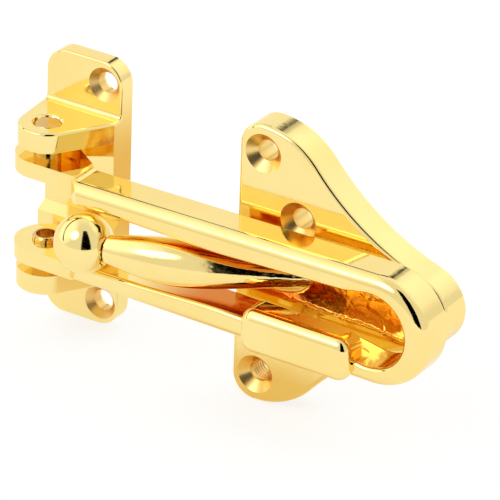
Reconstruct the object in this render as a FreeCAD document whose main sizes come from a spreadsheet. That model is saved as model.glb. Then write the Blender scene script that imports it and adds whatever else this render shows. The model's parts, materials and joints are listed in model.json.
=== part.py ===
import FreeCAD, Part
import os

import Sketcher
from FreeCAD import Placement, Rotation, Vector

# Swing bar door guard, shown closed. Millimetres, +X along the closed bar, +Y into the jamb, +Z up.
# The origin is on the back face of the jamb bracket, midway between its two screws.

SIZES = [
    # Jamb bracket
    ("plate_width", 19.5, "jamb plate, across"),
    ("plate_thick", 4.0, "jamb plate, front to back"),
    ("plate_corner", 5.2, "corner radius of the jamb plate"),
    ("tab_rise", 12.2, "screw tab, past the ear"),
    ("hole_rise", 6.9, "screw centre, past the ear"),
    ("hole_inset", 4.6, "screw centre to the free edge of the plate"),
    ("jamb_bore", 4.8, "screw clearance in the jamb plate"),
    ("jamb_sink", 7.8, "countersink across, jamb plate"),
    ("sink_angle", 90.0, "included angle of the countersinks"),
    ("pivot_standoff", 14.0, "pivot axis to the back face"),
    ("pivot_inset", 7.3, "pivot axis to the near edge of the plate"),
    ("nose_radius", 6.4, "round nose of an ear"),
    ("ear_thick", 4.6, "ear, along the pivot"),
    ("ear_blend", 1.0, "hollow where an ear meets its tab"),
    ("root_gap", 0.4, "swinging eye to the thick root behind it"),
    ("recess_half", 5.2, "half of the recess between the roots"),
    ("ledge_rise", 1.5, "sloping end of a root"),
    ("cast_round", 0.5, "rounded edges of the bracket"),
    # Pivot pins
    ("pin_diameter", 6.0, "pivot pin, pressed into its ear"),
    ("pin_play", 0.05, "pin to eye, on the radius"),
    ("pin_proud", 1.2, "pin past the inner face of its eye"),
    ("pin_sunk", 0.3, "pin below the outer face of its ear"),
    ("pin_chamfer", 0.4, "pin ends and ear bores"),
    ("cup_diameter", 4.4, "hollow in the inner end of a pin"),
    ("cup_depth", 2.2, "hollow in the inner end of a pin, along the pivot"),
    # Swing bar
    ("bar_length", 100.0, "pivot axis to the free end"),
    ("bar_back", 0.3, "back of the bar behind the pivot axis"),
    ("bar_front", 9.4, "front of the bar ahead of the pivot axis"),
    ("bar_round", 2.9, "outer front edge of the loop"),
    ("slot_round", 1.1, "inner front edge of the loop"),
    ("back_round", 0.9, "back edges of the loop"),
    ("arm_root", 4.75, "arm beside the slot, at the root"),
    ("arm_end", 4.1, "arm beside the slot, at the free end"),
    ("end_wall", 5.3, "loop wall at the free end"),
    ("slot_end", 8.4, "radius of the slot's free end"),
    ("throat_place", 48.0, "pivot axis to the narrowest slot"),
    ("throat_blend", 150.0, "round of the slot wall at the narrowest"),
    ("knee_setback", 20.0, "flare of the slot, back from the free end"),
    ("knee_rise", 1.0, "slot wall at the flare, out from the narrowest"),
    ("knee_blend", 15.0, "soft bend at the flare"),
    ("gate_length", 28.0, "pivot axis to the end of the wide slot"),
    ("ball_pass", 0.3, "ball to slot wall where the ball passes"),
    ("ball_catch", 0.2, "ball wider than the narrow slot, on the radius"),
    ("eye_radius", 6.9, "eye round the pin, and front of its tongue"),
    ("eye_thick", 3.75, "eye, along the pivot"),
    ("eye_lift", 1.8, "inner face of an eye, out from the slot wall"),
    ("eye_gap", 2.3, "eye to ear"),
    ("tongue_length", 11.2, "pivot axis to the outer step of the arm"),
    ("step_run", 1.8, "slope of the outer step"),
    ("ramp_start", 8.6, "pivot axis to the inner slope of the arm"),
    ("ramp_run", 3.6, "inner slope of the arm"),
    ("face_start", 11.0, "pivot axis to the front slope of the arm"),
    ("face_run", 2.9, "front slope of the arm"),
    # Thumb block
    ("thumb_setback", 16.7, "thumb block, back from the free end"),
    ("thumb_length", 26.5, "thumb block, along the bar"),
    ("thumb_height", 9.85, "thumb block, up the bar"),
    ("thumb_rise", 3.1, "thumb block, out from the bar"),
    ("thumb_drop", 0.1, "thumb block, below the arm"),
    ("thumb_embed", 0.4, "thumb block, into the arm past its round edge"),
    ("thumb_corner", 3.0, "corner radius of the thumb block"),
    ("thumb_round", 2.5, "front edge of the thumb block"),
    # Door plate
    ("door_gap", 34.5, "jamb plate to door plate"),
    ("bar_gap", 2.1, "back of the bar to the door plate"),
    ("door_thick", 7.5, "door plate, front to back"),
    ("door_length", 51.7, "door plate, edge to nose"),
    ("door_half", 32.4, "door plate, half of its height"),
    ("door_corner", 5.4, "corner radius of the door plate"),
    ("door_shoulder", 18.2, "round shoulder of the door plate"),
    ("door_hollow", 57.5, "hollow flank of the door plate"),
    ("door_nose", 8.9, "round nose of the door plate"),
    ("door_round", 1.0, "front edge of the door plate"),
    ("door_bore", 4.8, "screw clearance in the door plate"),
    ("door_sink", 8.7, "countersink across, door plate"),
    ("outer_inset", 5.9, "outer screws to the plate's straight edge"),
    ("outer_half", 26.1, "outer screws, half of their spacing"),
    ("inner_inset", 15.0, "inner screws to the plate's straight edge"),
    ("inner_half", 12.9, "inner screws, half of their spacing"),
    # Ball and its arm
    ("ball_diameter", 13.1, "ball"),
    ("ball_reach", 17.2, "pivot axis to ball, along the bar"),
    ("ball_proud", 1.5, "ball centre ahead of the bar's front"),
    ("arm_lean", 6.0, "degrees that the arm leans to the plate at the ball"),
    ("neck_diameter", 5.4, "arm at the ball"),
    ("belly_diameter", 10.0, "arm at its fullest"),
    ("root_diameter", 6.0, "arm at the plate"),
    ("root_place", 13.0, "arm's centre at the plate, from the straight edge"),
    ("root_depth", 3.6, "arm sunk into the plate"),
    ("root_blend", 1.5, "hollow where the arm meets the plate"),
]

# Lengths that follow from the driving sizes
GATE = "(Sizes.ball_diameter / 2 + Sizes.ball_pass)"
THROAT = "(Sizes.ball_diameter / 2 - Sizes.ball_catch)"
EYE_INNER = f"({GATE} + Sizes.eye_lift)"
EYE_OUTER = f"({EYE_INNER} + Sizes.eye_thick)"
EAR_INNER = f"({EYE_OUTER} + Sizes.eye_gap)"
EAR_OUTER = f"({EAR_INNER} + Sizes.ear_thick)"
PLATE_RIGHT = "Sizes.hole_inset"
PLATE_LEFT = "(Sizes.hole_inset - Sizes.plate_width)"
PIVOT_X = f"({PLATE_LEFT} + Sizes.pivot_inset)"
PIVOT_Y = "-Sizes.pivot_standoff"
ROOT_FRONT = "(Sizes.pivot_standoff - Sizes.eye_radius - Sizes.root_gap)"
DOOR_LEFT = f"({PLATE_RIGHT} + Sizes.door_gap)"
DOOR_BACK = f"({PIVOT_Y} + Sizes.bar_back + Sizes.bar_gap + Sizes.door_thick)"
BAR_FRONT = "Sizes.bar_front"
KNEE = "(Sizes.bar_length - Sizes.knee_setback)"
THUMB_FAR = "(Sizes.bar_length - Sizes.thumb_setback)"


def make_sheet(doc):
    """Lay the driving sizes out in a sheet, one named cell to a row."""
    sheet = doc.addObject("Spreadsheet::Sheet", "Sizes")
    for row, (alias, size, note) in enumerate(SIZES, start=1):
        sheet.set(f"A{row}", note)
        sheet.set(f"B{row}", str(size))
        sheet.setAlias(f"B{row}", alias)
    doc.recompute()
    return sheet


def value(doc, expression):
    """Work out an expression of the sheet as a plain number."""
    return float(doc.Sizes.evalExpression(expression))


def new_body(doc, label, place_x="0", place_y="0"):
    """Start a sub-part whose own origin stands at the given place."""
    body = doc.addObject("PartDesign::Body", label)
    body.Label = label
    body.setExpression("Placement.Base.x", place_x)
    body.setExpression("Placement.Base.y", place_y)
    return body


def plane(body, role):
    """Find one of a body's own origin planes or axes."""
    return next(item for item in body.Origin.OriginFeatures if item.Role == role)


def new_sketch(body, name, role, lift="0"):
    """Attach a sketch to an origin plane, lifted along the plane's normal."""
    sketch = body.newObject("Sketcher::SketchObject", name)
    sketch.AttachmentSupport = (plane(body, role), [""])
    sketch.MapMode = "FlatFace"
    sketch.setExpression("AttachmentOffset.Base.z", lift)
    return sketch


def drive(sketch, constraint, expression):
    """Add a dimension to a sketch and bind it to the sheet."""
    index = sketch.addConstraint(constraint)
    sketch.setExpression(f"Constraints[{index}]", expression)


def pin_point(sketch, geometry, position, place):
    """Hold a point of a sketch at a place given by two expressions."""
    for kind, expression in zip(("DistanceX", "DistanceY"), place):
        size = value(sketch.Document, expression)
        drive(sketch, Sketcher.Constraint(kind, -1, 1, geometry, position, size), expression)


def place_of(sketch, place):
    """Work out a sketch place given by two expressions."""
    return Vector(value(sketch.Document, place[0]), value(sketch.Document, place[1]), 0)


def outline(sketch, corners):
    """Draw a closed outline of straight sides whose corners follow the sheet."""
    points = [place_of(sketch, corner) for corner in corners]
    sides = [
        sketch.addGeometry(Part.LineSegment(start, end))
        for start, end in zip(points, points[1:] + points[:1])
    ]
    for side, following in zip(sides, sides[1:] + sides[:1]):
        sketch.addConstraint(Sketcher.Constraint("Coincident", side, 2, following, 1))
    for side, corner in zip(sides, corners):
        pin_point(sketch, side, 1, corner)


def circle(sketch, centre, radius):
    """Draw a circle whose centre and radius follow the sheet."""
    size = value(sketch.Document, radius)
    ring = sketch.addGeometry(Part.Circle(place_of(sketch, centre), Vector(0, 0, 1), size))
    pin_point(sketch, ring, 3, centre)
    drive(sketch, Sketcher.Constraint("Radius", ring, size), radius)


def straight(sketch, start, end):
    """Draw one side between two places, with no dimensions yet."""
    return sketch.addGeometry(Part.LineSegment(start, end))


def bend(sketch, start, middle, end):
    """Draw one arc through three places, with no dimensions yet."""
    return sketch.addGeometry(Part.Arc(start, middle, end))


def touching_ends(sketch, first, second):
    """Find which ends of two sketch lines lie together."""
    pairs = [(one, two) for one in (1, 2) for two in (1, 2)]
    return min(pairs, key=lambda pair: sketch.getPoint(first, pair[0]).distanceToPoint(
        sketch.getPoint(second, pair[1])))


def follow(sketch, joints):
    """Join lines of a sketch where their ends lie; a tangent joint also runs on smoothly."""
    for kind, first, second in joints:
        first_end, second_end = touching_ends(sketch, first, second)
        sketch.addConstraint(Sketcher.Constraint(kind, first, first_end, second, second_end))


def settle(feature):
    """Recompute the document and stop if a feature failed."""
    feature.Document.recompute()
    if "Invalid" in feature.State or not feature.Shape.isValid():
        raise RuntimeError(f"{feature.Name}: {feature.getStatusString()}")


def pad(body, sketch, name, length, backwards=False):
    """Raise a sketch into a solid."""
    feature = body.newObject("PartDesign::Pad", name)
    feature.Profile = sketch
    feature.Reversed = backwards
    feature.setExpression("Length", length)
    settle(feature)
    return feature


def pocket(body, sketch, name, depth=None):
    """Cut a sketch right through, or upwards to a depth, and make sure that it took metal off."""
    before = body.Tip.Shape.Volume
    feature = body.newObject("PartDesign::Pocket", name)
    feature.Profile = sketch
    if depth:
        feature.Reversed = True
        feature.setExpression("Length", depth)
    else:
        feature.Type = "ThroughAll"
        feature.Midplane = True
    settle(feature)
    if not feature.Shape.Volume < before:
        raise RuntimeError(f"{name} cuts nothing")
    return feature


def mirror(body, features, name, role="XY_Plane"):
    """Repeat features on the other side of an origin plane."""
    feature = body.newObject("PartDesign::Mirrored", name)
    feature.Originals = features
    feature.MirrorPlane = (plane(body, role), [""])
    body.Tip = feature
    settle(feature)
    return feature


def middle_of(edge):
    """Middle of an edge."""
    return edge.valueAt((edge.FirstParameter + edge.LastParameter) / 2)


def edges_where(feature, test):
    """List the names of a feature's edges whose two ends and middle all pass a test."""
    names = []
    for number, edge in enumerate(feature.Shape.Edges, start=1):
        points = [vertex.Point for vertex in edge.Vertexes] + [middle_of(edge)]
        if all(test(point, edge) for point in points):
            names.append(f"Edge{number}")
    return names


def dress(body, kind, name, edges, expression):
    """Round or chamfer edges of the body's last feature."""
    if not edges:
        raise RuntimeError(f"{name} found no edges")
    base = body.Tip
    feature = body.newObject(f"PartDesign::{kind}", name)
    feature.Base = (base, edges)
    feature.setExpression("Radius" if kind == "Fillet" else "Size", expression)
    settle(feature)
    return feature


def near(first, second):
    """Tell whether two lengths are the same to a hundredth of a millimetre."""
    return abs(first - second) < 0.01


def screw_holes(body, sketch, name, bore, sink):
    """Drill countersunk screw holes at the circles of a sketch."""
    body.Document.recompute()
    hole = body.newObject("PartDesign::Hole", name)
    hole.Profile = sketch
    body.Document.recompute()
    hole.ThreadType = "None"
    hole.DepthType = "ThroughAll"
    hole.HoleCutType = "Countersink"
    hole.HoleCutCustomValues = True
    hole.setExpression("Diameter", bore)
    hole.setExpression("HoleCutDiameter", sink)
    hole.setExpression("HoleCutCountersinkAngle", "Sizes.sink_angle")
    settle(hole)
    return hole


def make_jamb_bracket(doc):
    """Jamb bracket: screw plate, two ears and the thick roots that back the eyes."""
    body = new_body(doc, "jamb_bracket")
    top = f"({EAR_OUTER} + Sizes.tab_rise)"
    face = new_sketch(body, "plate_face", "XZ_Plane")
    low_side = [(PLATE_LEFT, f"-{top}"), (PLATE_RIGHT, f"-{top}")]
    outline(face, low_side + [(PLATE_RIGHT, top), (PLATE_LEFT, top)])
    plate = pad(body, face, "plate", "Sizes.plate_thick")
    corners = edges_where(plate, lambda point, edge: near(abs(point.z), value(doc, top)) and
                          near(edge.Length, value(doc, "Sizes.plate_thick")))
    dress(body, "Fillet", "plate_corners", corners, "Sizes.plate_corner")

    ear = pad(body, ear_plan(body), "ear", "Sizes.ear_thick", backwards=True)
    side = new_sketch(body, "root_side", "YZ_Plane", PLATE_LEFT)
    outline(side, [
        ("0", "Sizes.recess_half"),
        ("-Sizes.plate_thick", "Sizes.recess_half"),
        (f"-{ROOT_FRONT}", "Sizes.recess_half + Sizes.ledge_rise"),
        (f"-{ROOT_FRONT}", f"{EAR_INNER} + Sizes.ear_thick / 2"),
        ("0", f"{EAR_INNER} + Sizes.ear_thick / 2"),
    ])
    root = pad(body, side, "root", "Sizes.plate_width")
    bore_plan = new_sketch(body, "ear_bore_plan", "XY_Plane")
    circle(bore_plan, (PIVOT_X, PIVOT_Y), "Sizes.pin_diameter / 2")
    mirror(body, [ear, root], "both_ears")
    pocket(body, bore_plan, "ear_bores")

    centres = new_sketch(body, "screw_centres", "XZ_Plane", "Sizes.plate_thick")
    rise = f"({EAR_OUTER} + Sizes.hole_rise)"
    for height in (rise, f"-{rise}"):
        circle(centres, ("0", height), "Sizes.jamb_bore / 2")
    screw_holes(body, centres, "jamb_screws", "Sizes.jamb_bore", "Sizes.jamb_sink")
    finish_bracket_edges(doc, body)
    return body


def ear_plan(body):
    """Plan of an ear: two flanks that run tangent from the plate into its round nose."""
    doc = body.Document
    plan = new_sketch(body, "ear_plan", "XY_Plane", EAR_OUTER)
    left, right, front = (value(doc, item) for item in (PLATE_LEFT, PLATE_RIGHT, "-Sizes.plate_thick"))
    pivot = place_of(plan, (PIVOT_X, PIVOT_Y))
    radius = value(doc, "Sizes.nose_radius")
    root = Vector(right, -value(doc, ROOT_FRONT), 0)
    near_start = pivot + Vector(-radius, 0, 0)
    far_start = pivot + Vector(radius * 0.86, -radius * 0.5, 0)
    edge = straight(plan, Vector(left, 0, 0), Vector(left, front, 0))
    near_flank = straight(plan, Vector(left, front, 0), near_start)
    nose = bend(plan, near_start, pivot + Vector(0, -radius, 0), far_start)
    far_flank = straight(plan, far_start, root)
    side = straight(plan, root, Vector(right, 0, 0))
    seat = straight(plan, Vector(right, 0, 0), Vector(left, 0, 0))
    follow(plan, [
        ("Coincident", edge, near_flank),
        ("Tangent", near_flank, nose),
        ("Tangent", nose, far_flank),
        ("Coincident", far_flank, side),
        ("Coincident", side, seat),
        ("Coincident", seat, edge),
    ])
    pin_point(plan, edge, 1, (PLATE_LEFT, "0"))
    pin_point(plan, edge, 2, (PLATE_LEFT, "-Sizes.plate_thick"))
    pin_point(plan, nose, 3, (PIVOT_X, PIVOT_Y))
    drive(plan, Sketcher.Constraint("Radius", nose, radius), "Sizes.nose_radius")
    pin_point(plan, side, 1, (PLATE_RIGHT, f"-{ROOT_FRONT}"))
    pin_point(plan, side, 2, (PLATE_RIGHT, "0"))
    return plan


def finish_bracket_edges(doc, body):
    """Chamfer the bores, hollow the joins of the ears and round the outer edges of the bracket."""
    outer = value(doc, EAR_OUTER)
    front = -value(doc, "Sizes.plate_thick")
    bore = value(doc, "Sizes.pin_diameter / 2")
    rims = edges_where(body.Tip, lambda point, edge: near(abs(point.z), outer) and
                       is_rim(edge) and near(edge.Curve.Radius, bore))
    dress(body, "Chamfer", "bore_chamfers", rims, "Sizes.pin_chamfer")
    joins = edges_where(body.Tip, lambda point, edge: near(abs(point.z), outer) and near(point.y, front))
    dress(body, "Fillet", "ear_hollows", joins, "Sizes.ear_blend")
    tabs = edges_where(body.Tip, lambda point, edge: near(point.y, front) and abs(point.z) > outer and
                       not is_rim(edge) and not edge_is_level(edge, outer + 2))
    ears = edges_where(body.Tip, lambda point, edge: near(abs(point.z), outer) and point.y < front - 1)
    dress(body, "Fillet", "bracket_edges", tabs + ears, "Sizes.cast_round")


def is_rim(edge):
    """Tell whether an edge is a whole circle."""
    return isinstance(edge.Curve, Part.Circle) and edge.Closed


def edge_is_level(edge, limit):
    """Tell whether an edge runs level close above an ear."""
    return all(abs(vertex.Point.z) < limit for vertex in edge.Vertexes)


def make_pin(doc, label, upside_down):
    """Pivot pin: pressed into its ear, turning in its eye, chamfered, with a hollow inner end."""
    body = new_body(doc, label, PIVOT_X, PIVOT_Y)
    if upside_down:
        body.Placement.Rotation = Rotation(Vector(1, 0, 0), 180)
    low = f"({EYE_INNER} - Sizes.pin_proud)"
    section = new_sketch(body, f"{label}_section", "XY_Plane", low)
    circle(section, ("0", "0"), "Sizes.pin_diameter / 2")
    shank = pad(body, section, f"{label}_shank", f"{EAR_OUTER} - Sizes.pin_sunk - {low}")
    ends = edges_where(shank, lambda point, edge: isinstance(edge.Curve, Part.Circle))
    dress(body, "Chamfer", f"{label}_ends", ends, "Sizes.pin_chamfer")
    mouth = new_sketch(body, f"{label}_mouth", "XY_Plane", low)
    circle(mouth, ("0", "0"), "Sizes.cup_diameter / 2")
    pocket(body, mouth, f"{label}_cup", "Sizes.cup_depth")
    return body


def make_swing_bar(doc):
    """Swing bar: loop with a waisted slot, two eyes on stepped tongues, and a thumb block."""
    body = new_body(doc, "swing_bar", PIVOT_X, PIVOT_Y)
    depth = f"{BAR_FRONT} + Sizes.bar_back"
    half = pad(body, loop_outline(body), "half_loop", depth)
    loop = mirror(body, [half], "loop")
    round_loop(doc, body, loop)
    slope = new_sketch(body, "front_slope", "XY_Plane")
    outline(slope, [
        ("Sizes.ramp_start - Sizes.face_run", "-Sizes.eye_radius"),
        ("Sizes.face_start", "-Sizes.eye_radius"),
        ("Sizes.face_start + Sizes.face_run", f"-{BAR_FRONT}"),
        ("Sizes.face_start + Sizes.face_run", f"-{BAR_FRONT} - Sizes.face_run"),
        ("Sizes.ramp_start - Sizes.face_run", f"-{BAR_FRONT} - Sizes.face_run"),
    ])
    pocket(body, slope, "front_slopes")

    tongue = pad(body, tongue_plan(body), "tongue", f"{EYE_OUTER} - {GATE}", backwards=True)
    steps = new_sketch(body, "tongue_steps", "XZ_Plane")
    past_eye = "-2 * Sizes.eye_radius"
    outline(steps, [
        (past_eye, f"{GATE} - Sizes.eye_lift"),
        ("Sizes.ramp_start + 2 * Sizes.ramp_run", f"{GATE} - Sizes.eye_lift"),
        ("Sizes.ramp_start", EYE_INNER),
        (past_eye, EYE_INNER),
    ])
    outline(steps, [
        ("Sizes.tongue_length", EYE_OUTER),
        ("Sizes.tongue_length + Sizes.step_run", f"{GATE} + Sizes.arm_root"),
        ("Sizes.tongue_length + Sizes.step_run", EYE_OUTER),
    ])
    cut = pocket(body, steps, "tongue_cuts")
    mirror(body, [tongue, cut], "both_tongues")
    bore = new_sketch(body, "eye_bore_plan", "XY_Plane")
    circle(bore, ("0", "0"), "Sizes.pin_diameter / 2 + Sizes.pin_play")
    pocket(body, bore, "eye_bores")
    add_thumb_block(doc, body)
    return body


def loop_outline(body):
    """Upper half of the loop: tapering arm, round end, and a slot that narrows to a throat."""
    doc = body.Document
    sketch = new_sketch(body, "loop_outline", "XZ_Plane", "-Sizes.bar_back")
    start = value(doc, "Sizes.ramp_start")
    gate, throat = value(doc, GATE), value(doc, THROAT)
    length, wall, end = (value(doc, f"Sizes.{name}") for name in ("bar_length", "end_wall", "slot_end"))
    outer = end + value(doc, "Sizes.arm_end")
    round_x, slot_x = length - outer, length - wall - end
    corner = Vector(start, gate + value(doc, "Sizes.arm_root"), 0)
    waist = Vector(value(doc, "Sizes.throat_place"), throat, 0)
    knee = Vector(value(doc, KNEE), throat + value(doc, "Sizes.knee_rise"), 0)
    widest = Vector(value(doc, "Sizes.gate_length"), gate, 0)
    slope = 0.707
    top = straight(sketch, corner, Vector(round_x, outer, 0))
    tip = bend(sketch, Vector(round_x, outer, 0), Vector(round_x + outer * slope, outer * slope, 0),
               Vector(length, 0, 0))
    split = straight(sketch, Vector(length, 0, 0), Vector(length - wall, 0, 0))
    bight = bend(sketch, Vector(length - wall, 0, 0), Vector(slot_x + end * slope, end * slope, 0),
                 Vector(slot_x, end, 0))
    rise = straight(sketch, Vector(slot_x, end, 0), knee)
    round_off = value(doc, "Sizes.throat_blend")
    enter, leave = (waist + Vector(run, run * run / (2 * round_off), 0) for run in (5, -4))
    flare = straight(sketch, knee, enter)
    throat_arc = bend(sketch, enter, waist, leave)
    narrowing = straight(sketch, leave, widest)
    gateway = straight(sketch, widest, Vector(start, gate, 0))
    butt = straight(sketch, Vector(start, gate, 0), corner)
    follow(sketch, [
        ("Tangent", top, tip),
        ("Coincident", tip, split),
        ("Coincident", split, bight),
        ("Tangent", bight, rise),
        ("Coincident", rise, flare),
        ("Tangent", flare, throat_arc),
        ("Tangent", throat_arc, narrowing),
        ("Coincident", narrowing, gateway),
        ("Coincident", gateway, butt),
        ("Coincident", butt, top),
    ])
    pin_point(sketch, top, 1, ("Sizes.ramp_start", f"{GATE} + Sizes.arm_root"))
    pin_point(sketch, tip, 3, ("Sizes.bar_length - Sizes.slot_end - Sizes.arm_end", "0"))
    pin_point(sketch, split, 1, ("Sizes.bar_length", "0"))
    pin_point(sketch, split, 2, ("Sizes.bar_length - Sizes.end_wall", "0"))
    pin_point(sketch, bight, 3, ("Sizes.bar_length - Sizes.end_wall - Sizes.slot_end", "0"))
    pin_point(sketch, flare, 1, (KNEE, f"{THROAT} + Sizes.knee_rise"))
    pin_point(sketch, throat_arc, 3, ("Sizes.throat_place", f"{THROAT} + Sizes.throat_blend"))
    drive(sketch, Sketcher.Constraint("Radius", throat_arc, round_off), "Sizes.throat_blend")
    pin_point(sketch, gateway, 1, ("Sizes.gate_length", GATE))
    pin_point(sketch, butt, 1, ("Sizes.ramp_start", GATE))
    return sketch


def round_loop(doc, body, loop):
    """Soften the flare of the slot, then round the front and back edges of the loop."""
    knee = value(doc, KNEE)
    bends = edges_where(loop, lambda point, edge: near(point.x, knee))
    dress(body, "Fillet", "slot_knees", bends, "Sizes.knee_blend")
    butt = value(doc, "Sizes.ramp_start")
    front, back = -value(doc, BAR_FRONT), value(doc, "Sizes.bar_back")
    slot_x = value(doc, "Sizes.bar_length - Sizes.end_wall") + 0.1
    slot_z = max(value(doc, GATE), value(doc, "Sizes.slot_end")) + 0.1

    def along(level, in_slot):
        """List the edges at one face that follow the slot, or the outside of the loop."""
        names = []
        for name in edges_where(body.Tip, lambda point, edge: near(point.y, level)):
            middle = middle_of(body.Tip.Shape.getElement(name))
            slot_edge = middle.x < slot_x and abs(middle.z) < slot_z
            if not near(middle.x, butt) and slot_edge == in_slot:
                names.append(name)
        return names

    dress(body, "Fillet", "loop_outer_edges", along(front, False), "Sizes.bar_round")
    dress(body, "Fillet", "loop_inner_edges", along(front, True), "Sizes.slot_round")
    dress(body, "Fillet", "loop_back_edges", along(back, False) + along(back, True), "Sizes.back_round")


def tongue_plan(body):
    """Plan of an eye and its tongue: flat front, and a back that tapers to the arm."""
    doc = body.Document
    plan = new_sketch(body, "tongue_plan", "XY_Plane", EYE_OUTER)
    radius, back = value(doc, "Sizes.eye_radius"), value(doc, "Sizes.bar_back - Sizes.back_round")
    reach = value(doc, "Sizes.tongue_length + Sizes.step_run")
    leave = Vector(radius * 0.5, radius * 0.86, 0)
    eye = bend(plan, leave, Vector(-radius, 0, 0), Vector(0, -radius, 0))
    front = straight(plan, Vector(0, -radius, 0), Vector(reach, -radius, 0))
    stop = straight(plan, Vector(reach, -radius, 0), Vector(reach, back, 0))
    taper = straight(plan, Vector(reach, back, 0), leave)
    follow(plan, [
        ("Tangent", eye, front),
        ("Coincident", front, stop),
        ("Coincident", stop, taper),
        ("Tangent", taper, eye),
    ])
    pin_point(plan, eye, 3, ("0", "0"))
    stop_x = "Sizes.tongue_length + Sizes.step_run"
    pin_point(plan, stop, 1, (stop_x, "-Sizes.eye_radius"))
    pin_point(plan, stop, 2, (stop_x, "Sizes.bar_back - Sizes.back_round"))
    plan.addConstraint(Sketcher.Constraint("Horizontal", front))
    return plan


def add_thumb_block(doc, body):
    """Thumb block: a rounded bar on the front of the lower arm, standing up over the slot."""
    embed = "(Sizes.bar_round + Sizes.thumb_embed)"
    face = new_sketch(body, "thumb_face", "XZ_Plane", f"{BAR_FRONT} - {embed}")
    low = "-(Sizes.slot_end + Sizes.arm_end + Sizes.thumb_drop)"
    high = f"({low} + Sizes.thumb_height)"
    near_end = f"({THUMB_FAR} - Sizes.thumb_length)"
    rounded_outline(face, near_end, THUMB_FAR, low, high, "Sizes.thumb_corner")
    block = pad(body, face, "thumb_block", f"{embed} + Sizes.thumb_rise")
    front = -value(doc, f"{BAR_FRONT} + Sizes.thumb_rise")
    rim = edges_where(block, lambda point, edge: near(point.y, front))
    dress(body, "Fillet", "thumb_rim", rim, "Sizes.thumb_round")


def rounded_outline(sketch, left, right, low, high, radius):
    """Draw a rectangle with round corners that follows the sheet."""
    doc = sketch.Document
    size = value(doc, radius)
    corners = [
        ((f"{left} + {radius}", low), (f"{right} - {radius}", low), (right, f"{low} + {radius}")),
        ((right, f"{low} + {radius}"), (right, f"{high} - {radius}"), (f"{right} - {radius}", high)),
        ((f"{right} - {radius}", high), (f"{left} + {radius}", high), (left, f"{high} - {radius}")),
        ((left, f"{high} - {radius}"), (left, f"{low} + {radius}"), (f"{left} + {radius}", low)),
    ]
    centre = place_of(sketch, (f"({left} + {right}) / 2", f"({low} + {high}) / 2"))
    pieces = []
    for start, turn, end in corners:
        first, second, third = (place_of(sketch, item) for item in (start, turn, end))
        side = straight(sketch, first, second)
        chord = (second + third) / 2
        inward = Vector(1 if centre.x > chord.x else -1, 1 if centre.y > chord.y else -1, 0)
        outward = chord - inward * size * 0.207
        arc = bend(sketch, second, outward, third)
        pieces.append((side, arc, start, turn))
    for (side, arc, start, turn), (following, _, _, _) in zip(pieces, pieces[1:] + pieces[:1]):
        follow(sketch, [("Coincident", side, arc), ("Coincident", arc, following)])
        pin_point(sketch, side, 1, start)
        pin_point(sketch, side, 2, turn)
        drive(sketch, Sketcher.Constraint("Radius", arc, size), radius)


def make_door_plate(doc):
    """Door plate: bell-shaped screw plate with a curved arm and the ball that the bar slides on."""
    body = new_body(doc, "door_plate", DOOR_LEFT, DOOR_BACK)
    half = pad(body, bell_outline(body), "half_bell", "Sizes.door_thick")
    bell = mirror(body, [half], "bell")
    front = -value(doc, "Sizes.door_thick")
    rim = edges_where(bell, lambda point, edge: near(point.y, front))
    dress(body, "Fillet", "bell_rim", rim, "Sizes.door_round")
    centres = new_sketch(body, "door_screw_centres", "XZ_Plane", "Sizes.door_thick")
    for pair in ("outer", "inner"):
        for height in (f"Sizes.{pair}_half", f"-Sizes.{pair}_half"):
            circle(centres, (f"Sizes.{pair}_inset", height), "Sizes.door_bore / 2")
    screw_holes(body, centres, "door_screws", "Sizes.door_bore", "Sizes.door_sink")
    add_ball_arm(doc, body)
    return body


def bell_outline(body):
    """Upper half of the door plate: corner, round shoulder, hollow flank and round nose."""
    doc = body.Document
    sketch = new_sketch(body, "bell_outline", "XZ_Plane")
    names = ("door_half", "door_length", "door_corner", "door_shoulder", "door_hollow", "door_nose")
    half, length, corner, shoulder, hollow, nose = (value(doc, f"Sizes.{name}") for name in names)
    shoulder_at = Vector(corner, half - shoulder, 0)
    nose_at = Vector(length - nose, 0, 0)
    hollow_at = apex(shoulder_at, shoulder + hollow, nose_at, hollow + nose)
    leave = shoulder_at + (hollow_at - shoulder_at) * (shoulder / (shoulder + hollow))
    meet = nose_at + (hollow_at - nose_at) * (nose / (nose + hollow))
    top, tip = Vector(corner, half, 0), Vector(length, 0, 0)
    middle = (leave + meet) / 2
    dip = hollow_at + (middle - hollow_at).normalize() * hollow
    edge = straight(sketch, Vector(0, 0, 0), Vector(0, half - corner, 0))
    turn = bend(sketch, Vector(0, half - corner, 0),
                Vector(corner * 0.293, half - corner * 0.293, 0), top)
    crown = bend(sketch, top, arc_middle(shoulder_at, top, leave, shoulder), leave)
    flank = bend(sketch, leave, dip, meet)
    prow = bend(sketch, meet, arc_middle(nose_at, meet, tip, nose), tip)
    base = straight(sketch, tip, Vector(0, 0, 0))
    follow(sketch, [
        ("Tangent", edge, turn),
        ("Tangent", turn, crown),
        ("Tangent", crown, flank),
        ("Tangent", flank, prow),
        ("Coincident", prow, base),
        ("Coincident", base, edge),
    ])
    pin_point(sketch, edge, 1, ("0", "0"))
    sketch.addConstraint(Sketcher.Constraint("Vertical", edge))
    pin_point(sketch, turn, 3, ("Sizes.door_corner", "Sizes.door_half - Sizes.door_corner"))
    pin_point(sketch, crown, 3, ("Sizes.door_corner", "Sizes.door_half - Sizes.door_shoulder"))
    drive(sketch, Sketcher.Constraint("Radius", flank, hollow), "Sizes.door_hollow")
    pin_point(sketch, prow, 3, ("Sizes.door_length - Sizes.door_nose", "0"))
    pin_point(sketch, base, 1, ("Sizes.door_length", "0"))
    return sketch


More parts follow.
